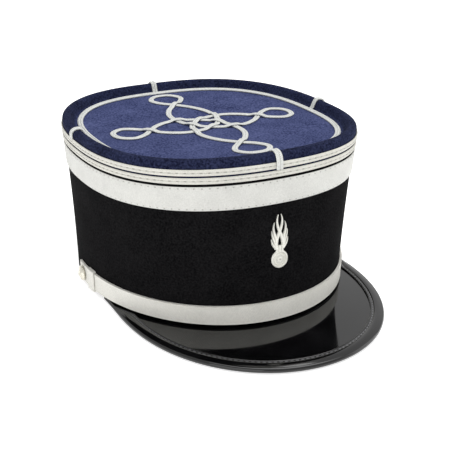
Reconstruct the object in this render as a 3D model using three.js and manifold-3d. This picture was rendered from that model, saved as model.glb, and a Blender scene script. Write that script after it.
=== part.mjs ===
// A French-style officer's kepi: a black cloth crown with a sunken blue top, silver galons and
// soutache, an embroidered flaming-ball badge, a braid chin strap and a patent-leather peak.
// Millimetres. The cap is built upright on its own level, then leant back to rest on a floor
// at Z = 0. The peak points along -Y and +X is the wearer's left. "turn" is the angle round
// the crown: 0 at the front, +90 degrees at the wearer's left, 180 degrees at the back.
import * as THREE from "three";
import { mergeVertices } from "three/addons/utils/BufferGeometryUtils.js";
import Module from "manifold-3d";

const wasm = await Module();
wasm.setup();

// ---------------------------------------------------------------- driving sizes
const GAP = 0.3; // between touching pieces
const DEGREE = Math.PI / 180;

// The crown is drawn between two ovals: one at its foot, one at its top edge.
const FOOT_OVAL = { halfLength: 102.7, halfWidth: 89.6, fullness: 2.05, egg: 0.038, shift: 0, lobe: 0 };
const TOP_OVAL = { halfLength: 98.8, halfWidth: 93, fullness: 2.52, egg: -0.031, shift: -0.6, lobe: 0.011 };
const CROWN_HEIGHT = 107.4;
const TOP_SLOPE = 0.012; // the top rises this much a millimetre towards the back
const TOP_SADDLE = 1.6; // front and back stand this much above the sides
const WALL_HOLLOW = 0.9; // how far the side curves in at mid height
const FOOT_DIP = 0.3; // the foot edge is this much lower where the peak is sewn on
const CLOTH = 2.4; // thickness of the stiffened cloth side
const TOP_CLOTH = 2.2;
const CLOTH_SEAM = 12; // black cloth starts this far below the top edge

// Cross-section of the rolled rim, as inset from the outer wall and drop below the crest.
const RIM = { shoulder: 3.2, crestInset: 4.5, footInset: 9.4, footDrop: 6.6 };
const DISC_DISH = 0.6; // extra depth of the top at its middle

// Galons sewn round the side, measured down the wall from the top edge.
const GALONS = [
  { name: "galon_upper", from: 5.3, to: 9.3, thickness: 0.9 },
  { name: "galon_lower", from: 10.4, to: 14.4, thickness: 0.9 },
  { name: "galon_wide", from: 16.1, to: 31.3, thickness: 0.8 },
];

// Soutache: a flat cord of silver braid.
const SOUTACHE = { width: 3.8, thickness: 1.2 };
const RING_INSET = 11.8; // middle of the ring braid, from the outer wall
const RIM_BRAIDS = [
  { name: "rim_braid_front", turn: -0.6, wallEnd: 9.6, overGalon: true },
  { name: "rim_braid_left", turn: 89.5, wallEnd: 5, overGalon: false },
  { name: "rim_braid_back", turn: 180, wallEnd: 5, overGalon: false },
  { name: "rim_braid_right", turn: -94, wallEnd: 5, overGalon: false },
];

// Hungarian knot: four arms, each ending in an eye. A strand runs from the crossing below one
// eye, through the weave at the middle, to the next arm's crossing. "along" is a share of the
// arm and "aside" of its half width; the table ends at the edge of the weave.
const KNOT = { x: 0.2, y: 1.2, frontArm: 52, sideArm: 41, halfWidth: 14.5, weave: 5.5 };
const KNOT_STRAND = [
  { along: 1, aside: 0 },
  { along: 0.8, aside: 0.6 },
  { along: 0.55, aside: 0.98 },
  { along: 0.29, aside: 1 },
  { along: 0.06, aside: 0.78 },
];
// Half of an eye: "beyond" is a share of its length past the crossing.
const EYE = { length: 25, halfWidth: 11.5 };
const KNOT_EYE = [
  { beyond: 0, aside: 0 },
  { beyond: 0.28, aside: 0.66 },
  { beyond: 0.62, aside: 1 },
  { beyond: 0.92, aside: 0.62 },
  { beyond: 1, aside: -0.05 },
];

// Badge: a ball, a neck and tongues of flame, embroidered on the front. Flames are curves from
// root to tip, measured from the middle of the ball; each has its mirror image.
const BADGE = { ballDown: 67.4, ballRadius: 5.7, neckHalf: 2.9, neckTop: 8.6, thickness: 1.5 };
const FLAMES = [
  { rootX: 2.2, rootY: 7, bellyX: 4.4, bellyY: 15, curlX: -4.6, curlY: 20, tipX: -0.9, tipY: 29, width: 2.9 },
  { rootX: 2.2, rootY: 11, bellyX: 3.2, bellyY: 17, curlX: 5.4, curlY: 19, tipX: 3.6, tipY: 24.2, width: 2.2 },
  { rootX: 2.6, rootY: 9, bellyX: 4, bellyY: 13, curlX: 5.4, curlY: 15, tipX: 5.4, tipY: 19, width: 2 },
  { rootX: 1.6, rootY: 7, bellyX: 4.6, bellyY: 8.5, curlX: 5.4, curlY: 11, tipX: 5.8, tipY: 13.8, width: 2 },
];

// Chin strap of silver braid across the front, from side button to side button.
const STRAP = { low: 0.5, high: 12.9, thickness: 1.5, endTurn: 99 };
const KEEPER = { turn: 85, width: 9, lip: 0.8, thickness: 0.8 };
const BUTTON = { turn: 94.5, height: 6, radius: 5.2, rim: 1, dome: 2.4 };

// Peak of stiff patent leather, its edge wrapped in a rolled binding.
const PEAK = { reach: 56.5, halfTurn: 82, endTurn: 76, thickness: 1.4, seam: 3.2, step: 1.2, fall: 2 };
const BINDING = { topLeg: 8.5, underLeg: 5, thickness: 0.6, clearOfStrap: 2.8 };

const COLOURS = {
  blackCloth: { color: 0x141415, roughness: 0.95, metalness: 0 },
  blueCloth: { color: 0x3c4275, roughness: 0.95, metalness: 0 },
  silverBraid: { color: 0xc9c8c0, roughness: 0.5, metalness: 0.35 },
  strapBraid: { color: 0xc1beb7, roughness: 0.45, metalness: 0.4 },
  embroidery: { color: 0xdcdad0, roughness: 0.5, metalness: 0.3 },
  patentLeather: { color: 0x070707, roughness: 0.08, metalness: 0 },
  button: { color: 0xd9d2c4, roughness: 0.25, metalness: 1 },
};

// ---------------------------------------------------------------- the crown's surface
// Point of an oval at a turn, on the floor plan.
function ovalPoint(oval, turn) {
  const across = Math.abs(Math.sin(turn) / oval.halfWidth) ** oval.fullness;
  const along = Math.abs(Math.cos(turn) / oval.halfLength) ** oval.fullness;
  const radius = (across + along) ** (-1 / oval.fullness) * (1 + oval.lobe * Math.cos(3 * turn));
  const y = -radius * Math.cos(turn);
  const x = radius * Math.sin(turn) * (1 + (oval.egg * y) / oval.halfLength);
  return new THREE.Vector2(x, y + oval.shift);
}

const topHeight = (y) => CROWN_HEIGHT + TOP_SLOPE * y + TOP_SADDLE * (y / TOP_OVAL.halfLength) ** 2;
const footHeight = (turn) => -FOOT_DIP * Math.max(0, Math.cos(turn)) ** 2;

// Outer cloth surface at a turn, at a share of the height (0 at the foot, 1 at the top edge).
function bareWall(turn, share) {
  const foot = ovalPoint(FOOT_OVAL, turn);
  const top = ovalPoint(TOP_OVAL, turn);
  const point = foot.lerp(top, share);
  const pull = 1 - (WALL_HOLLOW * 4 * share * (1 - share)) / point.length();
  const low = footHeight(turn);
  const height = low + (topHeight(top.y) - low) * share;
  return new THREE.Vector3(point.x * pull, point.y * pull, height);
}

// Outward direction of the wall, level with the floor.
function wallNormal(turn, share) {
  const step = 0.01;
  const along = bareWall(turn + step, share).sub(bareWall(turn - step, share));
  return new THREE.Vector3(along.y, -along.x, 0).normalize();
}

function wallPoint(turn, share, out) {
  return bareWall(turn, share).addScaledVector(wallNormal(turn, share), out);
}

const shareAbove = (height) => height / CROWN_HEIGHT;
const shareBelowTop = (down) => 1 - down / CROWN_HEIGHT;

// ---------------------------------------------------------------- making meshes
const ROUND_STEPS = 80;
const LATHE_RADIUS = 100;

function moveVertices(geometry, place) {
  const position = geometry.getAttribute("position");
  const point = new THREE.Vector3();
  for (let i = 0; i < position.count; i++) {
    point.fromBufferAttribute(position, i);
    const moved = place(point);
    position.setXYZ(i, moved.x, moved.y, moved.z);
  }
  return geometry;
}

// A closed ring right round the crown. The profile's points hold (out, up); place(turn, out,
// up) puts them on the cap.
function ringGeometry(profile, place, steps = ROUND_STEPS) {
  const closed = [...profile, profile[0]].map((p) => new THREE.Vector2(LATHE_RADIUS + p.x, p.y));
  const lathe = new THREE.LatheGeometry(closed, steps);
  return moveVertices(lathe, (p) => {
    const turn = Math.atan2(p.x, p.z);
    return place(turn, Math.hypot(p.x, p.z) - LATHE_RADIUS, p.y);
  });
}

// A strip with square ends. place(along, across, depth) gets three shares from 0 to 1.
function stripGeometry(steps, place) {
  const box = new THREE.BoxGeometry(1, 1, 1, steps.along, steps.across, steps.depth ?? 1);
  return moveVertices(box, (p) => place(p.x + 0.5, p.y + 0.5, p.z + 0.5));
}

function solidFrom(geometry) {
  const bare = geometry.clone();
  bare.deleteAttribute("normal");
  bare.deleteAttribute("uv");
  const merged = mergeVertices(bare, 1e-4);
  const mesh = new wasm.Mesh({
    numProp: 3,
    vertProperties: new Float32Array(merged.getAttribute("position").array),
    triVerts: new Uint32Array(merged.index.array),
  });
  return new wasm.Manifold(mesh);
}

function geometryFrom(solid) {
  const mesh = solid.getMesh();
  const geometry = new THREE.BufferGeometry();
  geometry.setAttribute("position", new THREE.BufferAttribute(new Float32Array(mesh.vertProperties), 3));
  geometry.setIndex(new THREE.BufferAttribute(new Uint32Array(mesh.triVerts), 1));
  return geometry;
}

function joined(geometries) {
  return geometryFrom(geometries.map(solidFrom).reduce((all, next) => all.add(next)));
}

function piece(name, geometry, colour) {
  geometry.computeVertexNormals();
  const mesh = new THREE.Mesh(geometry, new THREE.MeshStandardMaterial(colour));
  mesh.name = name;
  return mesh;
}

// Rounded flat section of a cord, as (across, up) points, standing on up = 0.
function cordSection(width, thickness) {
  const edge = thickness * 0.4;
  const half = width / 2;
  return [
    new THREE.Vector2(-half + edge, 0),
    new THREE.Vector2(half - edge, 0),
    new THREE.Vector2(half, edge),
    new THREE.Vector2(half, thickness - edge),
    new THREE.Vector2(half - edge, thickness),
    new THREE.Vector2(-half + edge, thickness),
    new THREE.Vector2(-half, thickness - edge),
    new THREE.Vector2(-half, edge),
  ];
}

// ---------------------------------------------------------------- crown
// Black cloth side, open at both ends; the blue top closes it.
function crownSide() {
  const levels = [0, 0.25, 0.5, 0.75, 1].map((share) => share * shareBelowTop(CLOTH_SEAM + GAP));
  const outer = levels.map((share) => new THREE.Vector2(0, share));
  const inner = levels.map((share) => new THREE.Vector2(-CLOTH, share)).reverse();
  return ringGeometry([...outer, ...inner], wallFromProfile);
}

function wallFromProfile(turn, out, share) {
  return wallPoint(turn, share, out);
}

// Outside line of the rim, from the wall over the crest to the edge of the disc, as
// (inset, drop) points.
function rimLine() {
  const line = new THREE.Path();
  const halfway = (RIM.crestInset + RIM.footInset) / 2;
  line.moveTo(0, RIM.shoulder);
  line.bezierCurveTo(0, RIM.shoulder / 3, RIM.crestInset / 3, 0, RIM.crestInset, 0);
  line.bezierCurveTo(halfway, 0, halfway, RIM.footDrop, RIM.footInset, RIM.footDrop);
  return line;
}

function rimPoint(turn, inset, drop) {
  return wallPoint(turn, shareBelowTop(drop), -inset);
}

// Point of the disc at a share of the way from its middle to its edge.
function discPoint(turn, share, sink) {
  const edge = rimPoint(turn, RIM.footInset, RIM.footDrop);
  const middle = new THREE.Vector3(0, TOP_OVAL.shift, CROWN_HEIGHT - RIM.footDrop - DISC_DISH);
  const height = THREE.MathUtils.lerp(middle.z, edge.z, share ** 2) - sink;
  return middle.lerp(edge, share).setZ(height);
}

function discHeight(x, y) {
  const fromMiddle = new THREE.Vector2(x, y - TOP_OVAL.shift);
  const turn = Math.atan2(fromMiddle.x, -fromMiddle.y);
  const edge = discPoint(turn, 1, 0);
  const share = fromMiddle.length() / Math.hypot(edge.x, edge.y - TOP_OVAL.shift);
  return discPoint(turn, Math.min(share, 1), 0).z;
}

// Blue top: upper wall, rolled rim and sunken disc in one cloth shell. In the profile the disc
// takes the radii from 0 to DISC_RADIUS and the rim and wall take the insets beyond it.
const DISC_RADIUS = LATHE_RADIUS - RIM.footInset;

function topFromProfile(turn, out, raise) {
  const radius = LATHE_RADIUS + out;
  if (radius < DISC_RADIUS - 0.01) return discPoint(turn, radius / DISC_RADIUS, -raise);
  return rimPoint(turn, -out, -raise);
}

function crownTop() {
  const discShares = [0, 0.3, 0.55, 0.8];
  const rim = rimLine().getPoints(5);
  const discUpper = discShares.map((share) => new THREE.Vector2(share * DISC_RADIUS, 0));
  const outside = rim.reverse().map((p) => new THREE.Vector2(LATHE_RADIUS - p.x, -p.y));
  const wallFoot = [0, TOP_CLOTH].map((inset) => new THREE.Vector2(LATHE_RADIUS - inset, -CLOTH_SEAM));
  const underRim = [
    new THREE.Vector2(LATHE_RADIUS - TOP_CLOTH, -RIM.footDrop - TOP_CLOTH),
    new THREE.Vector2(DISC_RADIUS, -RIM.footDrop - TOP_CLOTH),
  ];
  const discLower = discShares.map((share) => new THREE.Vector2(share * DISC_RADIUS, -TOP_CLOTH));
  const profile = [...discUpper, ...outside, ...wallFoot, ...underRim, ...discLower.reverse()];
  const lathe = new THREE.LatheGeometry(profile.reverse(), ROUND_STEPS);
  return moveVertices(lathe, (p) => {
    return topFromProfile(Math.atan2(p.x, p.z), Math.hypot(p.x, p.z) - LATHE_RADIUS, p.y);
  });
}

// ---------------------------------------------------------------- silver braid
function galon({ from, to, thickness }) {
  const high = shareBelowTop(from);
  const low = shareBelowTop(to);
  const profile = [
    new THREE.Vector2(GAP, low),
    new THREE.Vector2(GAP + thickness, low),
    new THREE.Vector2(GAP + thickness, high),
    new THREE.Vector2(GAP, high),
  ];
  return ringGeometry(profile, wallFromProfile);
}

// Ring of soutache laid on the disc at the foot of the rim.
function ringBraid() {
  const profile = cordSection(SOUTACHE.width, SOUTACHE.thickness);
  return ringGeometry(profile, (turn, across, up) => {
    const point = wallPoint(turn, shareBelowTop(RIM.footDrop), across - RING_INSET);
    return point.setZ(discHeight(point.x, point.y) + GAP + up);
  });
}

// Short soutache laid over the rim, from the ring braid down to the upper galon.
function rimBraid({ turn, wallEnd, overGalon }) {
  const line = new THREE.Path();
  const [upper] = GALONS;
  const discEnd = RING_INSET - SOUTACHE.width / 2 - GAP;
  line.moveTo(0, wallEnd);
  line.lineTo(0, RIM.shoulder);
  line.curves.push(...rimLine().curves);
  line.currentPoint.set(RIM.footInset, RIM.footDrop);
  line.lineTo(discEnd, RIM.footDrop);
  const half = SOUTACHE.width / 2 / (TOP_OVAL.halfWidth - RIM.crestInset);
  return stripGeometry({ along: 26, across: 2 }, (along, across, depth) => {
    const at = line.getPointAt(along);
    const slope = line.getTangentAt(along);
    const lifted = overGalon && at.y > upper.from - 1.2 ? upper.thickness + GAP : 0;
    const out = GAP + lifted + depth * SOUTACHE.thickness;
    const strandTurn = turn * DEGREE + (1 - 2 * across) * half;
    return rimPoint(strandTurn, at.x + slope.y * out, at.y - slope.x * out);
  });
}

function cordAlong(points, steps) {
  const middle = SOUTACHE.thickness / 2;
  const section = cordSection(SOUTACHE.width, SOUTACHE.thickness);
  const shape = new THREE.Shape(section.map((p) => new THREE.Vector2(p.y - middle, p.x)));
  const extrudePath = new THREE.CatmullRomCurve3(points);
  return new THREE.ExtrudeGeometry(shape, { steps, extrudePath, bevelEnabled: false });
}

// Plan directions of an arm: outwards, and to its side.
const armOut = (arm) => new THREE.Vector2(Math.sin(arm), -Math.cos(arm));
const armSide = (arm) => new THREE.Vector2(Math.cos(arm), Math.sin(arm));
const armLength = (arm) => (Math.abs(Math.cos(arm)) > 0.5 ? KNOT.frontArm : KNOT.sideArm);

function onDisc(plan) {
  const [x, y] = [plan.x + KNOT.x, plan.y + KNOT.y];
  return new THREE.Vector3(x, y, discHeight(x, y) + GAP + SOUTACHE.thickness / 2);
}

function armPoint(arm, outwards, aside) {
  const plan = armOut(arm).multiplyScalar(outwards).addScaledVector(armSide(arm), aside);
  return onDisc(plan);
}

// Strand from one arm's crossing, round the weave, to the crossing of the next arm.
function knotStrand(arm) {
  const next = arm + 90 * DEGREE;
  const leg = (from, side) => KNOT_STRAND.map(({ along, aside }) => {
    return armPoint(from, along * armLength(from), side * aside * KNOT.halfWidth);
  });
  const middle = onDisc(armOut(arm).add(armOut(next)).multiplyScalar(-KNOT.weave));
  return cordAlong([...leg(arm, -1), middle, ...leg(next, 1).reverse()], 18);
}

function halfEye(arm, side) {
  const before = KNOT_STRAND[1];
  const start = armPoint(arm, before.along * armLength(arm), -side * before.aside * KNOT.halfWidth);
  const loop = KNOT_EYE.map(({ beyond, aside }) => {
    return armPoint(arm, armLength(arm) + beyond * EYE.length, side * aside * EYE.halfWidth);
  });
  return cordAlong([start, ...loop], 10);
}

function knotBraid() {
  const arms = [0, 90, 180, 270].map((turn) => turn * DEGREE);
  return joined(arms.flatMap((arm) => [knotStrand(arm), halfEye(arm, 1), halfEye(arm, -1)]));
}

// ---------------------------------------------------------------- badge
// A tongue of flame: a curve that is widest near its root and runs out to a point.
function flameShape(flame, side) {
  const curve = new THREE.CubicBezierCurve(
    new THREE.Vector2(side * flame.rootX, flame.rootY),
    new THREE.Vector2(side * flame.bellyX, flame.bellyY),
    new THREE.Vector2(side * flame.curlX, flame.curlY),
    new THREE.Vector2(side * flame.tipX, flame.tipY),
  );
  const steps = 10;
  const edge = (direction) => Array.from({ length: steps }, (_, i) => {
    const share = i / steps;
    const along = curve.getTangentAt(share);
    const half = (flame.width / 2) * Math.sqrt(1 - share) * direction;
    return curve.getPointAt(share).add(new THREE.Vector2(-along.y * half, along.x * half));
  });
  return new THREE.Shape([...edge(-1), curve.getPointAt(1), ...edge(1).reverse()]);
}

function badge() {
  const { ballDown, ballRadius, neckHalf, neckTop, thickness } = BADGE;
  const flat = (shape, depth) => new THREE.ExtrudeGeometry(shape, { depth, bevelEnabled: false, curveSegments: 16 });
  const ball = new THREE.Shape().absarc(0, 0, ballRadius, 0, 2 * Math.PI);
  const neck = new THREE.Shape([
    new THREE.Vector2(-neckHalf, 0),
    new THREE.Vector2(neckHalf, 0),
    new THREE.Vector2(neckHalf * 0.85, neckTop),
    new THREE.Vector2(-neckHalf * 0.85, neckTop),
  ]);
  const flames = FLAMES.flatMap((flame) => [flameShape(flame, 1), flameShape(flame, -1)]);
  const low = [neck, ...flames].map((shape) => flat(shape, thickness * 0.8));
  const sewn = joined([flat(ball, thickness), ...low]);
  const frontRadius = -wallPoint(0, shareBelowTop(ballDown), 0).y;
  return moveVertices(sewn, (p) => {
    return wallPoint(p.x / frontRadius, shareBelowTop(ballDown - p.y), GAP + p.z);
  });
}

// ---------------------------------------------------------------- chin strap
function chinStrap() {
  return stripGeometry({ along: 56, across: 1 }, (along, across, depth) => {
    const turn = (2 * along - 1) * STRAP.endTurn * DEGREE;
    const height = THREE.MathUtils.lerp(STRAP.low, STRAP.high, across);
    return wallPoint(turn, shareAbove(height), GAP + depth * STRAP.thickness);
  });
}

// A keeper is folded round the strap: a front plate with a lip over each edge. Its section is
// a row of outer corners with an inner corner behind each, as (out, height).
function strapKeeper(side) {
  const half = KEEPER.width / 2 / FOOT_OVAL.halfWidth;
  const inside = GAP + STRAP.thickness + GAP;
  const outside = inside + KEEPER.thickness;
  const low = STRAP.low - GAP;
  const high = STRAP.high + GAP;
  const inner = [[GAP, low], [inside, low], [inside, high], [GAP, high]];
  const outer = [
    [GAP, low - KEEPER.lip],
    [outside, low - KEEPER.lip],
    [outside, high + KEEPER.lip],
    [GAP, high + KEEPER.lip],
  ];
  return stripGeometry({ along: 6, across: 3 }, (along, across, depth) => {
    const [out, height] = (depth > 0.5 ? outer : inner)[Math.round(across * 3)];
    return wallPoint(side * KEEPER.turn * DEGREE + (2 * along - 1) * half, shareAbove(height), out);
  });
}

function sideButton(side) {
  const { radius, rim, dome } = BUTTON;
  const domed = new THREE.Path();
  domed.moveTo(radius, 0);
  domed.lineTo(radius, rim);
  domed.bezierCurveTo(radius * 0.8, dome, radius * 0.4, rim + dome, 0, rim + dome);
  const profile = [new THREE.Vector2(0, 0), ...domed.getPoints(7)];
  const turn = side * BUTTON.turn * DEGREE;
  const button = piece(side > 0 ? "button_left" : "button_right", new THREE.LatheGeometry(profile, 28), COLOURS.button);
  const seat = GAP + STRAP.thickness + GAP;
  button.position.copy(wallPoint(turn, shareAbove(BUTTON.height), seat));
  button.quaternion.setFromUnitVectors(new THREE.Vector3(0, 1, 0), wallNormal(turn, shareAbove(BUTTON.height)));
  return button;
}

// ---------------------------------------------------------------- peak
const peakReach = (turn) => PEAK.reach * Math.cos(((turn / DEGREE / PEAK.halfTurn) * Math.PI) / 2) ** 2;
// The peak and its binding grow thin where they run out at the sides.
const peakTaper = (turn) => THREE.MathUtils.clamp(peakReach(turn) / 10, 0.5, 1);

// Upper surface of the peak at a distance out from the foot of the crown.
function peakPoint(turn, out, sink) {
  const foot = bareWall(turn, 0);
  const reach = peakReach(turn);
  const share = THREE.MathUtils.clamp(out / Math.max(reach, 1), 0, 1);
  const step = PEAK.step * THREE.MathUtils.smoothstep(out, -2.8, 0.4);
  const fall = PEAK.fall * (reach / PEAK.reach) * (1 - (1 - share) ** 2);
  const scale = 1 + out / Math.hypot(foot.x, foot.y);
  return new THREE.Vector3(foot.x * scale, foot.y * scale, foot.z - GAP - step - fall - sink);
}

const edgeRadius = (turn) => (PEAK.thickness / 2) * peakTaper(turn) + GAP;
const plateEdge = (turn) => peakReach(turn) - edgeRadius(turn) - BINDING.thickness * peakTaper(turn);

function peakPlate() {
  return stripGeometry({ along: 52, across: 7 }, (along, across, depth) => {
    const turn = (2 * along - 1) * PEAK.endTurn * DEGREE;
    const out = THREE.MathUtils.lerp(-PEAK.seam, plateEdge(turn), across ** 1.6);
    return peakPoint(turn, out, depth * PEAK.thickness * peakTaper(turn));
  });
}

// The binding's course across the edge: over the top, round the edge and back underneath.
function peakBinding() {
  const legSteps = 2;
  const turnSteps = 5;
  const steps = 2 * legSteps + turnSteps;
  return stripGeometry({ along: 52, across: steps }, (along, across, depth) => {
    const turn = (1 - 2 * along) * PEAK.endTurn * DEGREE;
    const taper = peakTaper(turn);
    const edge = plateEdge(turn);
    const radius = edgeRadius(turn) + depth * BINDING.thickness * taper;
    const middle = (PEAK.thickness / 2) * taper;
    const topLeg = THREE.MathUtils.clamp(edge - BINDING.clearOfStrap, 0.4, BINDING.topLeg);
    const underLeg = BINDING.underLeg * taper;
    const step = Math.round(across * steps);
    if (step <= legSteps) {
      return peakPoint(turn, edge - topLeg * (1 - step / legSteps), middle - radius);
    }
    if (step >= legSteps + turnSteps) {
      const back = (step - legSteps - turnSteps) / legSteps;
      return peakPoint(turn, edge - underLeg * back, middle + radius);
    }
    const roll = ((step - legSteps) / turnSteps) * Math.PI;
    const point = peakPoint(turn, edge + radius * Math.sin(roll), 0);
    return point.setZ(peakPoint(turn, edge, middle - radius * Math.cos(roll)).z);
  });
}

// ---------------------------------------------------------------- assembly
function buildCap() {
  const cap = new THREE.Group();
  cap.add(piece("crown_side", crownSide(), COLOURS.blackCloth));
  cap.add(piece("crown_top", crownTop(), COLOURS.blueCloth));
  for (const row of GALONS) cap.add(piece(row.name, galon(row), COLOURS.silverBraid));
  cap.add(piece("ring_braid", ringBraid(), COLOURS.silverBraid));
  cap.add(piece("knot_braid", knotBraid(), COLOURS.silverBraid));
  for (const row of RIM_BRAIDS) cap.add(piece(row.name, rimBraid(row), COLOURS.silverBraid));
  cap.add(piece("badge", badge(), COLOURS.embroidery));
  cap.add(piece("chin_strap", chinStrap(), COLOURS.strapBraid));
  cap.add(piece("strap_keeper_left", strapKeeper(1), COLOURS.strapBraid));
  cap.add(piece("strap_keeper_right", strapKeeper(-1), COLOURS.strapBraid));
  cap.add(sideButton(1), sideButton(-1));
  cap.add(piece("peak", peakPlate(), COLOURS.patentLeather));
  cap.add(piece("peak_binding", peakBinding(), COLOURS.patentLeather));
  return cap;
}

// Leans the cap back until the peak's edge and the back of the foot both touch the floor, and
// puts the middle of its outline over the origin.
function seated(cap) {
  const peakLow = peakPoint(0, plateEdge(0), PEAK.thickness + GAP + BINDING.thickness);
  const back = bareWall(Math.PI, 0);
  cap.rotation.x = -Math.atan2(back.z - peakLow.z, back.y - peakLow.y);
  cap.updateMatrixWorld(true);
  const box = new THREE.Box3().setFromObject(cap, true);
  const middle = box.getCenter(new THREE.Vector3());
  cap.position.set(0, -middle.y, -box.min.z);
  return new THREE.Group().add(cap);
}

export default seated(buildCap());
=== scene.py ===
# An officer's kepi: black cloth crown with a sunken blue top, silver galons and soutache, an
# embroidered flaming ball, a braid chin strap and a patent-leather peak, resting on a floor.
import math

import bpy
from mathutils import Matrix, Vector
from mathutils.geometry import interpolate_bezier


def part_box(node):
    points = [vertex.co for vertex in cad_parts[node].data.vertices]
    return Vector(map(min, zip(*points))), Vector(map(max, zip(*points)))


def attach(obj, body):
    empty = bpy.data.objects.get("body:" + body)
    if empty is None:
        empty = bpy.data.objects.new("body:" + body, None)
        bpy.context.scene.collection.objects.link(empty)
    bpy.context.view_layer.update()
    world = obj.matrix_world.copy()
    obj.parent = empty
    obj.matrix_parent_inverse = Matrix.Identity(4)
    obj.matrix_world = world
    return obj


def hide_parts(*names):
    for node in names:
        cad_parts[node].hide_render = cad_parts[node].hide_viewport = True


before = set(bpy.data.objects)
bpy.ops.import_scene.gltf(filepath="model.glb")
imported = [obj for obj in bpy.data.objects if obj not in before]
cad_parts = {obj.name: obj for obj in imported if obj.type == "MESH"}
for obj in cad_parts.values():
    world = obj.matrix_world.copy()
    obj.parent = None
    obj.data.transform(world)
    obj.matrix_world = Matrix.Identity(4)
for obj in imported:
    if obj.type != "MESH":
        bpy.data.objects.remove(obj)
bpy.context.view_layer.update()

# ------------------------------------------------------------------ driving sizes, in mm
GAP = 0.3
FOOT_OVAL = dict(half_length=102.7, half_width=89.6, fullness=2.05, egg=0.038, shift=0, lobe=0)
TOP_OVAL = dict(half_length=98.8, half_width=93, fullness=2.52, egg=-0.031, shift=-0.6, lobe=0.011)
CROWN_HEIGHT = 107.4
TOP_SLOPE = 0.012
TOP_SADDLE = 1.6
WALL_HOLLOW = 0.9
FOOT_DIP = 0.3
CLOTH = 2.4
TOP_CLOTH = 2.2
CLOTH_SEAM = 12
RIM_SHOULDER = 3.2
CREST_INSET = 4.5
DISC_INSET = 9.4
DISC_DROP = 6.6
DISC_DISH = 0.6

SOUTACHE_WIDTH = 3.8
SOUTACHE_HEIGHT = 1.3
RING_INSET = 11.8
KNOT_CENTRE = Vector((0.2, 1.2))
KNOT_ARMS = (52, 41, 52, 41)  # to the crossing below each eye: front, left, back, right
KNOT_HALF_WIDTH = 14.5
KNOT_WEAVE = 5.5
KNOT_HEIGHT = 1.05
EYE_LENGTH = 25
EYE_HALF_WIDTH = 11.5

STRAP_LOW = 0.5
STRAP_HIGH = 12.9
STRAP_THICKNESS = 1.5
STRAP_END_TURN = 99
KEEPER_TURN = 85
KEEPER_WIDTH = 9
BUTTON_TURN = 94.5
BUTTON_HEIGHT = 6
BUTTON_RADIUS = 5.2

PEAK_REACH = 56.5
PEAK_HALF_TURN = 82
PEAK_END_TURN = 76
PEAK_THICKNESS = 1.4
PEAK_SEAM = 3.2
PEAK_STEP = 1.2
PEAK_FALL = 2
BINDING_LEG = 8.5
BINDING_UNDER = 5
BINDING_THICKNESS = 0.6

BADGE_DOWN = 67.4
BALL_RADIUS = 5.7

ROUND = 2 * math.pi
HOOP = 200  # radius at which a section is spun before it is laid on the cap


def lerp(low, high, share):
    return low + (high - low) * share


def clamp(value, low, high):
    return max(low, min(high, value))


def smoothstep(value, low, high):
    share = clamp((value - low) / (high - low), 0, 1)
    return share * share * (3 - 2 * share)


# ------------------------------------------------------------------ the cap's surfaces
def oval_point(oval, turn):
    across = abs(math.sin(turn) / oval["half_width"]) ** oval["fullness"]
    along = abs(math.cos(turn) / oval["half_length"]) ** oval["fullness"]
    radius = (across + along) ** (-1 / oval["fullness"]) * (1 + oval["lobe"] * math.cos(3 * turn))
    y = -radius * math.cos(turn)
    x = radius * math.sin(turn) * (1 + oval["egg"] * y / oval["half_length"])
    return Vector((x, y + oval["shift"]))


def top_height(y):
    return CROWN_HEIGHT + TOP_SLOPE * y + TOP_SADDLE * (y / TOP_OVAL["half_length"]) ** 2


def bare_wall(turn, share):
    top = oval_point(TOP_OVAL, turn)
    point = oval_point(FOOT_OVAL, turn).lerp(top, share)
    point *= 1 - WALL_HOLLOW * 4 * share * (1 - share) / point.length
    low = -FOOT_DIP * max(0, math.cos(turn)) ** 2
    return Vector((point.x, point.y, lerp(low, top_height(top.y), share)))


def wall_normal(turn, share):
    along = bare_wall(turn + 0.01, share) - bare_wall(turn - 0.01, share)
    return Vector((along.y, -along.x, 0)).normalized()


def wall_point(turn, share, out):
    return bare_wall(turn, share) + wall_normal(turn, share) * out


def above_foot(height):
    return height / CROWN_HEIGHT


def below_top(down):
    return 1 - down / CROWN_HEIGHT


def rim_point(turn, inset, drop):
    return wall_point(turn, below_top(drop), -inset)


def disc_point(turn, share, sink=0):
    edge = rim_point(turn, DISC_INSET, DISC_DROP)
    middle = Vector((0, TOP_OVAL["shift"], CROWN_HEIGHT - DISC_DROP - DISC_DISH))
    height = lerp(middle.z, edge.z, share**2) - sink
    point = middle.lerp(edge, share)
    return Vector((point.x, point.y, height))


def disc_height(x, y):
    off = Vector((x, y - TOP_OVAL["shift"]))
    turn = math.atan2(off.x, -off.y)
    edge = disc_point(turn, 1)
    share = off.length / Vector((edge.x, edge.y - TOP_OVAL["shift"])).length
    return disc_point(turn, min(share, 1)).z


def rim_line(steps):
    """The rim's outline from the wall to the edge of the disc, as (inset, drop)."""
    halfway = (CREST_INSET + DISC_INSET) / 2
    outer = interpolate_bezier(
        Vector((0, RIM_SHOULDER, 0)), Vector((0, RIM_SHOULDER / 3, 0)),
        Vector((CREST_INSET / 3, 0, 0)), Vector((CREST_INSET, 0, 0)), steps,
    )
    inner = interpolate_bezier(
        Vector((CREST_INSET, 0, 0)), Vector((halfway, 0, 0)),
        Vector((halfway, DISC_DROP, 0)), Vector((DISC_INSET, DISC_DROP, 0)), steps,
    )
    return [(p.x, p.y) for p in outer + inner[1:]]


def peak_reach(turn):
    return PEAK_REACH * math.cos(turn / math.radians(PEAK_HALF_TURN) * math.pi / 2) ** 2


def peak_taper(turn):
    return clamp(peak_reach(turn) / 10, 0.5, 1)


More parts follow.
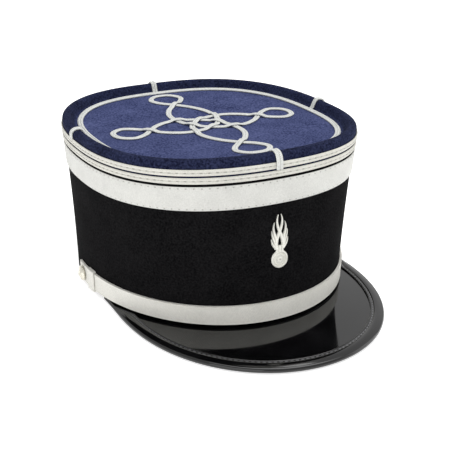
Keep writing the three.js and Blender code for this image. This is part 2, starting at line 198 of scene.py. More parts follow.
def peak_point(turn, out, sink=0):
    foot = bare_wall(turn, 0)
    reach = peak_reach(turn)
    share = clamp(out / max(reach, 1), 0, 1)
    step = PEAK_STEP * smoothstep(out, -2.8, 0.4)
    fall = PEAK_FALL * reach / PEAK_REACH * (1 - (1 - share) ** 2)
    scale = 1 + out / foot.xy.length
    return Vector((foot.x * scale, foot.y * scale, foot.z - GAP - step - fall - sink))


def edge_radius(turn):
    return PEAK_THICKNESS / 2 * peak_taper(turn) + GAP


def plate_edge(turn):
    return peak_reach(turn) - edge_radius(turn) - BINDING_THICKNESS * peak_taper(turn)


# The cap leans back until the peak's edge and the back of the foot touch the floor, and stands
# with the middle of its outline over the origin.
peak_low = peak_point(0, plate_edge(0), PEAK_THICKNESS + GAP + BINDING_THICKNESS)
back_foot = bare_wall(math.pi, 0)
LEAN = -math.atan2(back_foot.z - peak_low.z, back_foot.y - peak_low.y)
turned = Matrix.Rotation(LEAN, 4, "X")
front_edge = peak_point(0, peak_reach(0), PEAK_THICKNESS / 2)
crown_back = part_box("crown_side")[1][1]
SEAT_BACK = crown_back * 1000 - (turned @ back_foot).y
crown_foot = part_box("crown_side")[0][2]
SEAT_LIFT = crown_foot * 1000 - (turned @ back_foot).z
SEAT = Matrix.Translation((0, SEAT_BACK, SEAT_LIFT)) @ turned


def seated(point):
    return SEAT @ point / 1000


# ------------------------------------------------------------------ modelling helpers
def deselect():
    if bpy.context.object and bpy.context.object.mode != "OBJECT":
        bpy.ops.object.mode_set(mode="OBJECT")
    bpy.ops.object.select_all(action="DESELECT")


def edit_all(obj):
    deselect()
    obj.select_set(True)
    bpy.context.view_layer.objects.active = obj
    bpy.ops.object.mode_set(mode="EDIT")
    bpy.ops.mesh.select_all(action="SELECT")


def end_edit():
    bpy.ops.object.mode_set(mode="OBJECT")


def smooth(obj, angle=38):
    deselect()
    obj.select_set(True)
    bpy.context.view_layer.objects.active = obj
    bpy.ops.object.shade_smooth_by_angle(angle=math.radians(angle))


def spun(name, section, steps, place, length=None, closed=True, angle=38):
    """Spins a section into a hoop (or half a hoop) and lays it on the cap.

    section holds (a, b) corners; place(share, a, b) gives a point of the cap in mm, where share
    runs along the piece. The UV map holds metres along the piece and metres across it."""
    deselect()
    bpy.ops.mesh.primitive_circle_add(vertices=len(section), radius=1, fill_type="NOTHING")
    obj = bpy.context.object
    obj.name = obj.data.name = name
    for vertex, (a, b) in zip(obj.data.vertices, section):
        vertex.co = (HOOP + a, 0, b)
    sweep = ROUND if closed else math.pi
    edit_all(obj)
    bpy.ops.mesh.spin(steps=steps, angle=sweep, center=(0, 0, 0), axis=(0, 0, 1))
    bpy.ops.mesh.select_all(action="SELECT")
    bpy.ops.mesh.remove_doubles(threshold=0.02)
    end_edit()
    mesh = obj.data
    shares = []
    for vertex in mesh.vertices:
        spin = math.atan2(vertex.co.y, vertex.co.x)
        share = (spin / ROUND) % 1 if closed else abs(spin) / math.pi
        share = round(share * steps) / steps
        share = share % 1 if closed else share
        a = round(math.hypot(vertex.co.x, vertex.co.y) - HOOP, 3)
        shares.append((share, a))
        vertex.co = seated(place(share, a, vertex.co.z))
    if length:
        write_uv(mesh, shares, length, closed)
    edit_all(obj)
    bpy.ops.mesh.remove_doubles(threshold=0.00001)
    bpy.ops.mesh.delete_loose(use_verts=True, use_edges=True, use_faces=False)
    bpy.ops.mesh.select_all(action="SELECT")
    bpy.ops.mesh.fill_holes(sides=0)
    bpy.ops.mesh.select_all(action="SELECT")
    bpy.ops.mesh.normals_make_consistent(inside=False)
    end_edit()
    smooth(obj, angle)
    return obj


def write_uv(mesh, shares, length, closed):
    layer = mesh.uv_layers.get("UVMap") or mesh.uv_layers.new(name="UVMap")
    for face in mesh.polygons:
        along = [shares[mesh.loops[i].vertex_index][0] for i in face.loop_indices]
        wraps = closed and max(along) - min(along) > 0.5
        for i, share in zip(face.loop_indices, along):
            share += 1 if wraps and share < 0.5 else 0
            across = shares[mesh.loops[i].vertex_index][1]
            layer.data[i].uv = (share * length / 1000, across / 1000)


def finish_piece(obj, node, material):
    obj.data.materials.clear()
    obj.data.materials.append(material)
    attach(obj, "root")
    if node:
        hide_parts(*([node] if isinstance(node, str) else node))
    return obj


def cord_section(width, height, ribs=2):
    """Section of a ribbed flat cord, as (across, up), standing on up = 0."""
    steps = 7 * ribs
    top = []
    for i in range(steps + 1):
        share = i / steps
        crown = 1 - abs(2 * share - 1) ** 3
        groove = abs(math.sin(share * ribs * math.pi)) ** 0.5
        top.append((width * (share - 0.5), height * (0.45 + 0.55 * groove * (0.55 + 0.45 * crown))))
    return [(-width * 0.46, 0), *top, (width * 0.46, 0)]


# ------------------------------------------------------------------ node groups
def add(tree, kind, inputs=None, **settings):
    made = tree.nodes.new("ShaderNode" + kind)
    for key, value in settings.items():
        setattr(made, key, value)
    for key, value in (inputs or {}).items():
        if isinstance(value, bpy.types.NodeSocket):
            tree.links.new(value, made.inputs[key])
        else:
            made.inputs[key].default_value = value
    return made


def maths(tree, operation, first, second=0.0):
    return add(tree, "Math", {0: first, 1: second}, operation=operation).outputs[0]


def new_group(name, inputs, outputs):
    tree = bpy.data.node_groups.new(name, "ShaderNodeTree")
    for label in inputs:
        kind = "NodeSocketVector" if label == "Vector" else "NodeSocketFloat"
        tree.interface.new_socket(name=label, in_out="INPUT", socket_type=kind)
    for label in outputs:
        tree.interface.new_socket(name=label, in_out="OUTPUT", socket_type="NodeSocketFloat")
    entry = tree.nodes.new("NodeGroupInput")
    leave = tree.nodes.new("NodeGroupOutput")
    return tree, entry.outputs, leave.inputs


def nap_group():
    """Short felted fibres, finer than a millimetre, over slow patches in how the nap lies."""
    tree, given, out = new_group("felted nap", ["Vector", "Grain"], ["Height", "Patch"])
    fibre = add(tree, "TexNoise", {"Vector": given["Vector"], "Scale": given["Grain"], "Detail": 3.0})
    patch = add(tree, "TexNoise", {"Vector": given["Vector"], "Scale": 55.0, "Detail": 3.0})
    tree.links.new(fibre.outputs[0], out["Height"])
    mixed = maths(tree, "ADD", maths(tree, "MULTIPLY", fibre.outputs[0], 0.75),
                  maths(tree, "MULTIPLY", patch.outputs[0], 0.25))
    spread = add(tree, "MapRange", {0: mixed, 1: 0.34, 2: 0.66, 3: 0.0, 4: 1.0})
    tree.links.new(spread.outputs[0], out["Patch"])
    return tree


def weave_group():
    """Threads laid over and under each other, from a map in metres along and across the braid."""
    names = ["Vector", "Along pitch", "Across pitch"]
    tree, given, out = new_group("braid weave", names, ["Height", "Gap"])
    place = add(tree, "SeparateXYZ", {0: given["Vector"]})
    waves = []
    for axis, pitch in ((0, "Along pitch"), (1, "Across pitch")):
        turns = maths(tree, "DIVIDE", place.outputs[axis], given[pitch])
        waves.append(maths(tree, "SINE", maths(tree, "MULTIPLY", turns, ROUND)))
    crossed = maths(tree, "MULTIPLY", waves[0], waves[1])
    height = maths(tree, "ADD", maths(tree, "MULTIPLY", crossed, 0.5), 0.5)
    tree.links.new(height, out["Height"])
    gap = add(tree, "MapRange", {0: height, 1: 0.42, 2: 0.1, 3: 0.0, 4: 1.0})
    tree.links.new(gap.outputs[0], out["Gap"])
    return tree


def stitch_group():
    """A row of single stitches along the piece at a stated line across it."""
    names = ["Vector", "Pitch", "Line", "Half width", "Share"]
    tree, given, out = new_group("stitch row", names, ["Stitch"])
    place = add(tree, "SeparateXYZ", {0: given["Vector"]})
    along = maths(tree, "FRACT", maths(tree, "DIVIDE", place.outputs[0], given["Pitch"]))
    from_middle = maths(tree, "ABSOLUTE", maths(tree, "SUBTRACT", along, 0.5))
    inner = maths(tree, "MULTIPLY", given["Share"], 0.35)
    outer = maths(tree, "MULTIPLY", given["Share"], 0.5)
    length = add(tree, "MapRange", {0: from_middle, 1: outer, 2: inner, 3: 0.0, 4: 1.0})
    off = maths(tree, "ABSOLUTE", maths(tree, "SUBTRACT", place.outputs[1], given["Line"]))
    inside = add(tree, "MapRange", {0: maths(tree, "DIVIDE", off, given["Half width"]),
                                    1: 1.0, 2: 0.6, 3: 0.0, 4: 1.0})
    tree.links.new(maths(tree, "MULTIPLY", length.outputs[0], inside.outputs[0]), out["Stitch"])
    return tree


def tarnish_group():
    """Dull grey patches where silver thread has been handled."""
    tree, given, out = new_group("tarnish", ["Vector", "Size"], ["Dull"])
    cloud = add(tree, "TexNoise", {"Vector": given["Vector"], "Scale": given["Size"], "Detail": 5.0})
    dull = add(tree, "MapRange", {0: cloud.outputs[0], 1: 0.42, 2: 0.75, 3: 0.0, 4: 1.0})
    tree.links.new(dull.outputs[0], out["Dull"])
    return tree


NAP = nap_group()
WEAVE = weave_group()
STITCH = stitch_group()
TARNISH = tarnish_group()


# ------------------------------------------------------------------ materials
def new_material(name, roughness, specular=0.5, sheen=0.0, coat=0.0, metallic=0.0):
    material = bpy.data.materials.new(name)
    material.use_nodes = True
    tree = material.node_tree
    shader = tree.nodes["Principled BSDF"]
    shader.inputs["Roughness"].default_value = roughness
    shader.inputs["Specular IOR Level"].default_value = specular
    shader.inputs["Sheen Weight"].default_value = sheen
    shader.inputs["Coat Weight"].default_value = coat
    shader.inputs["Metallic"].default_value = metallic
    return material, tree, shader, tree.nodes.new("ShaderNodeTexCoord").outputs


def placed(tree, group, inputs):
    made = add(tree, "Group", {}, node_tree=group)
    for key, value in inputs.items():
        if isinstance(value, bpy.types.NodeSocket):
            tree.links.new(value, made.inputs[key])
        else:
            made.inputs[key].default_value = value
    return made.outputs


def blend_colours(tree, share, first, second):
    mix = tree.nodes.new("ShaderNodeMix")
    mix.data_type = "RGBA"
    tree.links.new(share, mix.inputs[0])
    for socket, colour in ((mix.inputs[6], first), (mix.inputs[7], second)):
        if isinstance(colour, bpy.types.NodeSocket):
            tree.links.new(colour, socket)
        else:
            socket.default_value = (*colour, 1)
    return mix.outputs[2]


def bump(tree, shader, height, depth, strength=1.0):
    made = add(tree, "Bump", {"Height": height, "Distance": depth, "Strength": strength})
    tree.links.new(made.outputs[0], shader.inputs["Normal"])


def black_cloth():
    material, tree, shader, place = new_material("black wool cloth", 0.95, specular=0.03)
    nap = placed(tree, NAP, {"Vector": place["Object"], "Grain": 900.0})
    colour = blend_colours(tree, nap["Patch"], (0.0015, 0.0015, 0.0018), (0.0095, 0.0092, 0.0098))
    tree.links.new(colour, shader.inputs["Base Color"])
    bump(tree, shader, nap["Height"], 0.0003, 0.7)
    return material


def blue_cloth():
    """Blue cloth: the rim is painted a far darker blue than the sunken disc, as painted shade on the rim."""
    material, tree, shader, place = new_material("blue wool cloth", 0.92, specular=0.05)
    nap = placed(tree, NAP, {"Vector": place["Object"], "Grain": 800.0})
    # The rim's darker blue is painted shade on the same cloth; the disc's blue is the lit cloth.
    rim = blend_colours(tree, nap["Patch"], (0.002, 0.003, 0.012), (0.025, 0.031, 0.074))
    disc = blend_colours(tree, nap["Patch"], (0.012, 0.018, 0.062), (0.082, 0.098, 0.215))
    across = add(tree, "SeparateXYZ", {0: place["UV"]}).outputs[1]
    # This mask picks the painted-shade blue on the rim near the wall and the lit blue on the disc further
    # in.
    painted_rim_shade = add(tree, "MapRange", {0: across, 1: -0.0105, 2: -0.0075, 3: 0.0, 4: 1.0})
    tree.links.new(blend_colours(tree, painted_rim_shade.outputs[0], disc, rim), shader.inputs["Base Color"])
    bump(tree, shader, nap["Height"], 0.0003, 0.6)
    return material


def silver_braid(name, light, dark, pitches, rows=(), share=0.3, shade=0.45, roughness=0.5,
                 metallic=0.1):
    """Woven silver thread; rows are the stitch lines across it, in metres from its middle."""
    material, tree, shader, place = new_material(name, roughness, specular=0.35, metallic=metallic)
    weave = placed(tree, WEAVE, {"Vector": place["UV"], "Along pitch": pitches[0],
                                 "Across pitch": pitches[1]})
    dull = placed(tree, TARNISH, {"Vector": place["Object"], "Size": 70.0})["Dull"]
    glint = placed(tree, NAP, {"Vector": place["Object"], "Grain": 1100.0})["Patch"]
    worn = maths(tree, "ADD", maths(tree, "MULTIPLY", dull, 0.15), maths(tree, "MULTIPLY", glint, 0.4))
    thread = blend_colours(tree, worn, light, tuple(c * 0.62 for c in light))
    colour = blend_colours(tree, maths(tree, "MULTIPLY", weave["Gap"], 0.55), thread, dark)
    height = weave["Height"]
    for line in rows:
        stitch = placed(tree, STITCH, {"Vector": place["UV"], "Pitch": 0.0043, "Line": line,
                                       "Half width": 0.0004, "Share": share})["Stitch"]
        colour = blend_colours(tree, maths(tree, "MULTIPLY", stitch, shade), colour, dark)
        height = maths(tree, "SUBTRACT", height, maths(tree, "MULTIPLY", stitch, 1.5))
    tree.links.new(colour, shader.inputs["Base Color"])
    rough = maths(tree, "ADD", maths(tree, "MULTIPLY", dull, 0.2), roughness)
    tree.links.new(rough, shader.inputs["Roughness"])
    bump(tree, shader, height, 0.00022, 0.8)
    return material


def patent_leather(name, rows=()):
    material, tree, shader, place = new_material(name, 0.07, specular=0.4, coat=0.25)
    shader.inputs["Coat Roughness"].default_value = 0.03
    scuff = placed(tree, TARNISH, {"Vector": place["Object"], "Size": 38.0})["Dull"]
    colour = blend_colours(tree, scuff, (0.0016, 0.0016, 0.0019), (0.0045, 0.0045, 0.005))
    ripple = add(tree, "TexNoise", {"Vector": place["Object"], "Scale": 24.0, "Detail": 2.0})
    height = maths(tree, "MULTIPLY", ripple.outputs[0], 0.12)
    for line in rows:
        stitch = placed(tree, STITCH, {"Vector": place["UV"], "Pitch": 0.0028, "Line": line,
                                       "Half width": 0.0006, "Share": 0.7})["Stitch"]
        height = maths(tree, "ADD", height, maths(tree, "MULTIPLY", stitch, 0.8))
        colour = blend_colours(tree, maths(tree, "MULTIPLY", stitch, 0.9), colour, (0.13, 0.13, 0.14))
    tree.links.new(colour, shader.inputs["Base Color"])
    rough = maths(tree, "ADD", maths(tree, "MULTIPLY", scuff, 0.07), 0.05)
    tree.links.new(rough, shader.inputs["Roughness"])
    bump(tree, shader, height, 0.0006, 0.5)
    return material


def button_metal():
    material, tree, shader, place = new_material("silvered button", 0.3, metallic=0.85)
    dull = placed(tree, TARNISH, {"Vector": place["Object"], "Size": 420.0})["Dull"]
    colour = blend_colours(tree, dull, (0.83, 0.8, 0.7), (0.42, 0.4, 0.34))
    tree.links.new(colour, shader.inputs["Base Color"])
    rough = maths(tree, "ADD", maths(tree, "MULTIPLY", dull, 0.3), 0.24)
    tree.links.new(rough, shader.inputs["Roughness"])
    bump(tree, shader, dull, 0.0001, 0.4)
    return material


BLACK_CLOTH = black_cloth()
BLUE_CLOTH = blue_cloth()
SILVER = (0.73, 0.72, 0.66)
NARROW_GALON = silver_braid("narrow silver galon", SILVER, (0.2, 0.19, 0.17),
                            (0.0009, 0.0008), (0.0,), share=0.36)
WIDE_GALON = silver_braid("wide silver galon", (0.7, 0.7, 0.665), (0.32, 0.31, 0.29),
                          (0.0011, 0.0007), (0.0066, -0.0066), share=0.22, shade=0.9)
SOUTACHE = silver_braid("silver soutache", (0.71, 0.72, 0.69), (0.16, 0.17, 0.17), (0.0010, 0.0016))
STRAP_BRAID = silver_braid("silver strap braid", (0.79, 0.78, 0.725), (0.42, 0.4, 0.37),
                           (0.0012, 0.0010), roughness=0.55)
EMBROIDERY = silver_braid("silver embroidery", (0.88, 0.87, 0.8), (0.2, 0.2, 0.18), (0.0009, 0.0045))
PATENT = patent_leather("black patent leather")
PATENT_BINDING = patent_leather("stitched patent binding", (0.0022,))
BUTTON_METAL = button_metal()


# ------------------------------------------------------------------ crown
def crown_wall():
    high = CROWN_HEIGHT - CLOTH_SEAM - GAP
    outer = [(high * i / 20, 0) for i in range(1, 21)]
    inner = [(high * i / 6, -CLOTH) for i in range(6, 0, -1)]
    fold = [(0.5, -CLOTH), (0.05, -CLOTH * 0.7), (0.05, -CLOTH * 0.3), (0.5, 0)]
    wall = spun("wall_cloth", outer + inner + fold, 200,
                lambda share, a, b: wall_point(share * ROUND, above_foot(a), b), length=600)
    finish_piece(wall, "crown_side", BLACK_CLOTH)


def top_place(share, a, b):
    turn = share * ROUND
    if a < -DISC_INSET - 0.01:
        reach = clamp(1 - (-a - DISC_INSET) / 80, 0, 1)
        return disc_point(turn, reach, -b - DISC_DROP)
    return rim_point(turn, -a, -b)


def crown_top():
    """The blue top: its disc, the piped rim round it and the turned-down edge, with the underside."""
    shares = [0, 0.08, 0.2, 0.35, 0.5, 0.65, 0.8, 0.92]
    disc = [(-DISC_INSET - 80 * (1 - s), -DISC_DROP) for s in shares]
    rim = [(-inset, -drop) for inset, drop in reversed(rim_line(18))]
    wall = [(0, -7), (0, -CLOTH_SEAM), (-TOP_CLOTH, -CLOTH_SEAM)]
    under = [(-TOP_CLOTH, -DISC_DROP - TOP_CLOTH), (-DISC_INSET, -DISC_DROP - TOP_CLOTH)]
    lining = [(a, -DISC_DROP - TOP_CLOTH) for a, b in reversed(disc)]
    top = spun("top_cloth", disc + rim + wall + under + lining, 220, top_place, length=600)
    finish_piece(top, "crown_top", BLUE_CLOTH)


def galon(name, node, high, low, height, material, ribs):
    middle = (high + low) / 2
    width = low - high
    if ribs:
        section = cord_section(width, height, ribs)
    else:
        flat = [(width * (i / 12 - 0.5), height) for i in range(1, 12)]
        edge = width / 2
        section = [(-edge, 0), (-edge, height * 0.6), *flat, (edge, height * 0.6), (edge, 0)]
    band = spun(name, section, 320,
                lambda share, a, b: wall_point(share * ROUND, below_top(middle + a), GAP + b), length=602)
    finish_piece(band, node, material)


# ------------------------------------------------------------------ soutache
def ring_place(share, a, b):
    point = wall_point(share * ROUND, below_top(DISC_DROP), a - RING_INSET)
    return Vector((point.x, point.y, disc_height(point.x, point.y) + GAP + b))


def along_line(points, share):
    lengths = [0]
    for first, second in zip(points, points[1:]):
        lengths.append(lengths[-1] + (second - first).length)
    wanted = clamp(share, 0, 1) * lengths[-1]
    for i in range(1, len(points)):
        if wanted <= lengths[i]:
            step = lengths[i] - lengths[i - 1]
            return points[i - 1].lerp(points[i], (wanted - lengths[i - 1]) / max(step, 1e-6))
    return points[-1]


def rim_braid(name, node, turn, wall_end, lifted=0):
    """One soutache that starts on the wall, climbs the rim and runs down to the ring."""
    disc_end = RING_INSET - SOUTACHE_WIDTH / 2 - GAP
    line = [Vector((0, wall_end))] + [Vector(p) for p in rim_line(12)] + [Vector((disc_end, DISC_DROP))]
    half = SOUTACHE_WIDTH / (TOP_OVAL["half_width"] - CREST_INSET)

    def place(share, a, b):
        at = along_line(line, share)
        slope = (along_line(line, share + 0.03) - along_line(line, share - 0.03)).normalized()
        over = lifted * (1 - smoothstep(share, 0.18, 0.4))
        out = GAP + over + b
        side_turn = math.radians(turn) + a / SOUTACHE_WIDTH * half
        return rim_point(side_turn, at.x + slope.y * out, at.y - slope.x * out)

    strand = spun(name, cord_section(SOUTACHE_WIDTH, SOUTACHE_HEIGHT), 60, place, length=26, closed=False)
    finish_piece(strand, node, SOUTACHE)


KNOT_LEG = [(1, 0), (0.8, 0.6), (0.55, 0.98), (0.29, 1), (0.06, 0.78)]
KNOT_EYE = [(0.28, 0.66), (0.62, 1), (0.92, 0.62)]


def knot_points():
    """One closed cord: out along each arm, round its eye and back, crossing itself at every turn."""
    points = []
    outs = [Vector((math.sin(math.radians(t)), -math.cos(math.radians(t)))) for t in (0, 90, 180, 270)]
    sides = [Vector((math.cos(math.radians(t)), math.sin(math.radians(t)))) for t in (0, 90, 180, 270)]

    def on_arm(arm, outwards, aside):
        return outs[arm] * outwards + sides[arm] * aside

    for arm in range(4):
        follow = (arm + 1) % 4
        leg = [(out * KNOT_ARMS[arm], -side * KNOT_HALF_WIDTH) for out, side in KNOT_LEG]
        points += [on_arm(arm, *at) for at in leg]
        points.append((outs[arm] + outs[follow]) * -KNOT_WEAVE)
        leg = [(out * KNOT_ARMS[follow], side * KNOT_HALF_WIDTH) for out, side in reversed(KNOT_LEG)]
        points += [on_arm(follow, *at) for at in leg]
        eye = [(KNOT_ARMS[follow] + out * EYE_LENGTH, side * EYE_HALF_WIDTH) for out, side in KNOT_EYE]
        points += [on_arm(follow, out, -side) for out, side in eye]
        points.append(on_arm(follow, KNOT_ARMS[follow] + EYE_LENGTH, 0))
        points += [on_arm(follow, out, side) for out, side in reversed(eye)]
    return [p + KNOT_CENTRE for p in points]


def smooth_loop(points, per_span):
    """A closed centripetal curve through the points."""
    curve = []
    count = len(points)
    for i in range(count):
        p = [points[(i + k - 1) % count] for k in range(4)]
        t = [0]
        for first, second in zip(p, p[1:]):
            t.append(t[-1] + max((second - first).length, 1e-4) ** 0.5)
        for step in range(per_span):
            now = lerp(t[1], t[2], step / per_span)
            a = [p[k].lerp(p[k + 1], (now - t[k]) / (t[k + 1] - t[k])) for k in range(3)]
            b = [a[k].lerp(a[k + 1], (now - t[k]) / (t[k + 2] - t[k])) for k in range(2)]
            curve.append(b[0].lerp(b[1], (now - t[1]) / (t[2] - t[1])))
    return curve


def even_loop(points, count):
    closed = points + [points[0]]
    lengths = [0]
    for first, second in zip(closed, closed[1:]):
        lengths.append(lengths[-1] + (second - first).length)
    even = []
    at = 0
    for i in range(count):
        wanted = lengths[-1] * i / count
        while lengths[at + 1] < wanted:
            at += 1
        span = max(lengths[at + 1] - lengths[at], 1e-6)
        even.append(closed[at].lerp(closed[at + 1], (wanted - lengths[at]) / span))
    return even, lengths[-1]


def crossings(path):
    """Where a closed path passes over itself, as the steps at which it gets there, in order."""
    visits = []
    count = len(path)
    for i in range(count):
        a, b = path[i], path[(i + 1) % count]
        for j in range(i + 3, count):
            c, d = path[j], path[(j + 1) % count]
            if (a - c).length > 6 or (i == 0 and j > count - 3):
                continue
            run, other, gap = b - a, d - c, c - a
            turn = run.x * other.y - run.y * other.x
            if abs(turn) < 1e-9:
                continue
            first = (gap.x * other.y - gap.y * other.x) / turn
            second = (gap.x * run.y - gap.y * run.x) / turn
            if 0 <= first < 1 and 0 <= second < 1:
                visits += [i + first, j + second]
    return sorted(visits)


def knot(steps=600):
    path, length = even_loop(smooth_loop(knot_points(), 16), steps)
    over = crossings(path)[1::2]
    step_length = length / steps

    def lift(i):
        away = min(min(abs(i - o), steps - abs(i - o)) for o in over) * step_length
        return (KNOT_HEIGHT + 0.1) * (1 - smoothstep(away, 1.6, 7.2))

    lifts = [lift(i) for i in range(steps)]
    heights = [disc_height(p.x, p.y) for p in path]

    def place(share, a, b):
        i = round(share * steps) % steps
        along = (path[(i + 1) % steps] - path[i - 1]).normalized()
        at = path[i] + Vector((along.y, -along.x)) * a
        return Vector((at.x, at.y, heights[i] + GAP + lifts[i] + b))

    cord = spun("knot_cord", cord_section(SOUTACHE_WIDTH, KNOT_HEIGHT), steps, place, length=length)
    finish_piece(cord, "knot_braid", SOUTACHE)


# ------------------------------------------------------------------ badge
FRONT_RADIUS = -wall_point(0, below_top(BADGE_DOWN), 0).y
FLAMES = [  # root, belly, curl, tip, width
    ((2.2, 7), (4.4, 15), (-4.6, 20), (-0.9, 29), 2.9),
    ((2.2, 11), (3.2, 17), (5.4, 19), (3.6, 24.2), 2.2),
    ((2.6, 9), (4, 13), (5.4, 15), (5.4, 19), 2.0),
    ((1.6, 7), (4.6, 8.5), (5.4, 11), (5.8, 13.8), 2.0),
]


def on_front(x, y, out):
    return wall_point(x / FRONT_RADIUS, below_top(BADGE_DOWN - y), GAP + out)


def tongue(flame, side):
    corners = [Vector((side * x, y)) for x, y in flame[:4]]
    width = flame[4]

    def place(share, a, b):
        p, q, r, s = corners
        rest = 1 - share
        at = p * rest**3 + q * 3 * rest**2 * share + r * 3 * rest * share**2 + s * share**3
        slope = ((q - p) * rest**2 + (r - q) * 2 * rest * share + (s - r) * share**2).normalized()
        narrow = max(0.12, math.sqrt(rest))
        at += Vector((-slope.y, slope.x)) * a * narrow
        return on_front(at.x, at.y, b * (0.45 + 0.55 * narrow))

    return spun("tongue", cord_section(width, 1.3, 1), 36, place, length=26, closed=False)


def embroidered_badge():
    def ball_place(share, a, b):
        turn = share * ROUND
        radius = BALL_RADIUS + a
        return on_front(radius * math.sin(turn), radius * math.cos(turn), b)

    border = [(-1.7, 0.2), (-1.6, 0.8), (-1.2, 1.35), (-0.8, 1.5), (-0.4, 1.3), (-0.05, 0.8), (0, 0)]
    satin = [(-BALL_RADIUS, 1.15), (-4.6, 1.12), (-3.4, 1.0), (-2.4, 0.7), (-1.9, 0.3)]
    under = [(-BALL_RADIUS, 0)]
    sewn = [spun("ball", satin + border + under, 72, ball_place, length=34)]

    def neck_place(share, a, b):
        return on_front(a * (1 - 0.15 * share), 4.4 + share * 4.6, b)

    sewn.append(spun("neck", cord_section(5.6, 1.35, 3), 20, neck_place, length=5, closed=False))
    for flame in FLAMES:
        sewn += [tongue(flame, 1), tongue(flame, -1)]
    deselect()
    for piece in sewn:
        piece.select_set(True)
    bpy.context.view_layer.objects.active = sewn[0]
    bpy.ops.object.join()
    badge = bpy.context.object
    badge.name = badge.data.name = "badge_embroidery"
    smooth(badge)
    finish_piece(badge, "badge", EMBROIDERY)


# ------------------------------------------------------------------ chin strap, keepers, buttons
def chin_strap():
    half = (STRAP_HIGH - STRAP_LOW) / 2
    middle = (STRAP_HIGH + STRAP_LOW) / 2
    thick = STRAP_THICKNESS
    flat = [(half * (i / 8 - 1) * 0.94, thick * (0.9 + 0.07 * (i % 2))) for i in range(17)]
    lips = [(half * 0.99, thick), (half, thick * 0.6), (half, 0)]
    section = [(-half, 0), (-half, thick * 0.6), (-half * 0.99, thick), *flat, *lips]

    def place(share, a, b):
        turn = (2 * share - 1) * math.radians(STRAP_END_TURN)
        return wall_point(turn, above_foot(middle + a), GAP + b)

    strap = spun("strap_band", section, 260, place, length=330, closed=False)
    finish_piece(strap, "chin_strap", STRAP_BRAID)


def strap_keeper(side, name, node):
    half = KEEPER_WIDTH / 2 / FOOT_OVAL["half_width"]
    inside = GAP + STRAP_THICKNESS + GAP
    outside = inside + 0.8
    low, high = STRAP_LOW - GAP, STRAP_HIGH + GAP
    inner = [(low, GAP), (low, inside), (high, inside), (high, GAP)]
    outer = [(high + 0.8, GAP), (high + 0.8, outside - 0.3), (high + 0.5, outside)]
    outer += [(high - i * (high - low) / 6, outside + 0.12 * math.sin(i * math.pi / 6)) for i in range(7)]
    outer += [(low - 0.5, outside), (low - 0.8, outside - 0.3), (low - 0.8, GAP)]

    def place(share, a, b):
        turn = side * math.radians(KEEPER_TURN) + (2 * share - 1) * half
        edge = 0.35 * smoothstep(abs(2 * share - 1), 0.8, 1) if b > inside else 0
        return wall_point(turn, above_foot(a), b - edge)

    loop = spun(name, inner + outer, 20, place, length=KEEPER_WIDTH, closed=False)
    finish_piece(loop, node, STRAP_BRAID)


def side_button(side, name, node):
    turn = side * math.radians(BUTTON_TURN)
    normal = wall_normal(turn, above_foot(BUTTON_HEIGHT))
    seat = wall_point(turn, above_foot(BUTTON_HEIGHT), GAP + STRAP_THICKNESS + GAP)
    across = Vector((-normal.y, normal.x, 0))
    radius = BUTTON_RADIUS
    dome = [(-radius, 3.4), (-4.4, 3.33), (-3.6, 3.1), (-2.8, 2.75), (-2, 2.25), (-1.4, 1.7)]
    rolled = [(-1.15, 1.4), (-0.9, 1.55), (-0.5, 1.65), (-0.15, 1.4), (0, 1), (0, 0.3), (-0.2, 0)]

    def place(share, a, b):
        reach = radius + a
        angle = share * ROUND
        return seat + across * reach * math.cos(angle) + Vector((0, 0, reach * math.sin(angle))) + normal * b

    button = spun(name, dome + rolled + [(-radius, 0)], 64, place, length=32)
    finish_piece(button, node, BUTTON_METAL)


# ------------------------------------------------------------------ peak
def peak_plate():
    def place(share, a, b):
        turn = (2 * share - 1) * math.radians(PEAK_END_TURN)
        out = lerp(-PEAK_SEAM, plate_edge(turn), (a / 100) ** 1.6)
        return peak_point(turn, out, b * PEAK_THICKNESS * peak_taper(turn))

    upper = [(100 * i / 30, 0) for i in range(31)]
    lower = [(100 * i / 12, 1) for i in range(12, -1, -1)]
    plate = spun("peak_leather", upper + lower, 200, place, length=300, closed=False)
    finish_piece(plate, "peak", PATENT)


def peak_binding():
    """The rolled edge: a bead along its inner edge, a stitched groove, then the round of the roll."""
    def place(share, a, b):
        turn = (1 - 2 * share) * math.radians(PEAK_END_TURN)
        taper = peak_taper(turn)
        edge = plate_edge(turn)
        radius = edge_radius(turn) + b * BINDING_THICKNESS * taper
        middle = PEAK_THICKNESS / 2 * taper
        top_leg = clamp(edge - 2.8, 0.4, BINDING_LEG)
        part = a / 10
        if part <= 1:
            return peak_point(turn, edge - top_leg * (1 - part), middle - radius)
        if part >= 2:
            return peak_point(turn, edge - BINDING_UNDER * taper * (part - 2), middle + radius)
        roll = (part - 1) * math.pi
        point = peak_point(turn, edge + radius * math.sin(roll))
        point.z = peak_point(turn, edge, middle - radius * math.cos(roll)).z
        return point

    top = [(0, 0.2), (0, 1.1), (0.4, 1.5), (0.9, 1.6), (1.4, 1.3), (1.8, 0.7), (2.5, 0.7), (3, 1.3)]
    top += [(3.8, 1.8), (4.8, 2.1), (6, 2.15), (7.2, 1.95), (8.4, 1.6), (9.3, 1.25)]
    roll = [(10 + i, 1) for i in range(11)]
    under = [(25, 1), (30, 1), (30, 0), (25, 0)]
    inside = [(10 + i, 0) for i in range(10, -1, -2)] + [(5, 0)]
    binding = spun("binding_roll", top + roll + under + inside, 200, place, length=330, closed=False)
    finish_piece(binding, "peak_binding", PATENT_BINDING)


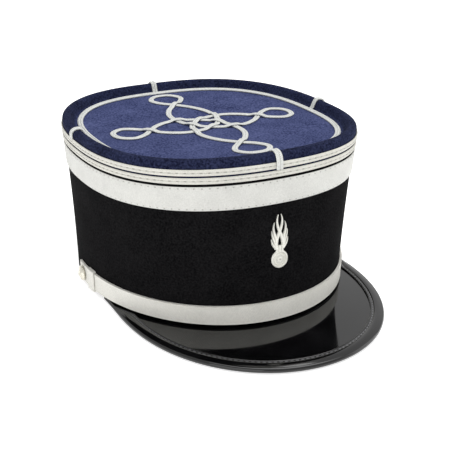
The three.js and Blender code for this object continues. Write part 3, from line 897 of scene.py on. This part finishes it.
crown_wall()
crown_top()
galon("upper_galon_band", "galon_upper", 5.3, 9.3, 0.95, NARROW_GALON, 2)
galon("lower_galon_band", "galon_lower", 10.4, 14.4, 0.95, NARROW_GALON, 2)
galon("wide_galon_band", "galon_wide", 16.1, 31.3, 0.8, WIDE_GALON, 0)
ring = spun("ring_cord", cord_section(SOUTACHE_WIDTH, SOUTACHE_HEIGHT), 280, ring_place, length=510)
finish_piece(ring, "ring_braid", SOUTACHE)
rim_braid("front_rim_cord", "rim_braid_front", -0.6, 9.6, lifted=1.2)
rim_braid("left_rim_cord", "rim_braid_left", 89.5, 5)
rim_braid("back_rim_cord", "rim_braid_back", 180, 5)
rim_braid("right_rim_cord", "rim_braid_right", -94, 5)
knot()
embroidered_badge()
chin_strap()
strap_keeper(1, "left_keeper_loop", "strap_keeper_left")
strap_keeper(-1, "right_keeper_loop", "strap_keeper_right")
side_button(1, "left_button_dome", "button_left")
side_button(-1, "right_button_dome", "button_right")
peak_plate()
peak_binding()


# ------------------------------------------------------------------ stage, light and camera
def studio_floor():
    deselect()
    bpy.ops.mesh.primitive_plane_add(size=60)
    floor = bpy.context.object
    floor.name = floor.data.name = "studio_floor"
    material, tree, shader, place = new_material("white studio floor", 0.9, specular=0.1)
    shader.inputs["Base Color"].default_value = (0.9, 0.9, 0.9, 1)
    shader.inputs["Emission Color"].default_value = (1, 1, 1, 1)
    shader.inputs["Emission Strength"].default_value = 0.55
    floor.data.materials.append(material)


def soft_light(name, place, size, power):
    deselect()
    bpy.ops.object.light_add(type="AREA", location=place)
    light = bpy.context.object
    light.name = name
    light.data.size = size
    light.data.energy = power
    light.rotation_mode = "QUATERNION"
    light.rotation_quaternion = (Vector((0, 0, 0.06)) - Vector(place)).to_track_quat("-Z", "Y")


def studio_sky():
    world = bpy.data.worlds.new("studio sky")
    world.use_nodes = True
    world.node_tree.nodes["Background"].inputs[0].default_value = (1, 1, 1, 1)
    world.node_tree.nodes["Background"].inputs[1].default_value = 0.8
    bpy.context.scene.world = world


def camera():
    deselect()
    bpy.ops.object.camera_add()
    made = bpy.context.object
    made.data.lens = 72.68
    made.data.sensor_width = 36
    azimuth, roll = math.radians(-27.1126), math.radians(0.2128)
    back = Vector((-0.41921, -0.81877, 0.39226)).normalized()
    right = Vector((math.cos(azimuth), math.sin(azimuth), 0))
    up = back.cross(right)
    across = right * math.cos(roll) + up * math.sin(roll)
    upward = up * math.cos(roll) - right * math.sin(roll)
    turn = Matrix((across, upward, back)).transposed().to_4x4()
    made.matrix_world = Matrix.Translation((-0.26123, -0.51017, 0.28404)) @ turn
    made.data.clip_start = 0.01
    bpy.context.scene.camera = made


studio_floor()
studio_sky()
soft_light("overhead_softbox", (0.25, 0.15, 1.3), 1.0, 9)
soft_light("right_softbox", (1.1, -0.35, 0.5), 0.8, 2.5)
soft_light("left_softbox", (-0.9, -0.8, 0.35), 0.9, 3.5)
camera()
bpy.context.scene.view_settings.view_transform = "Standard"
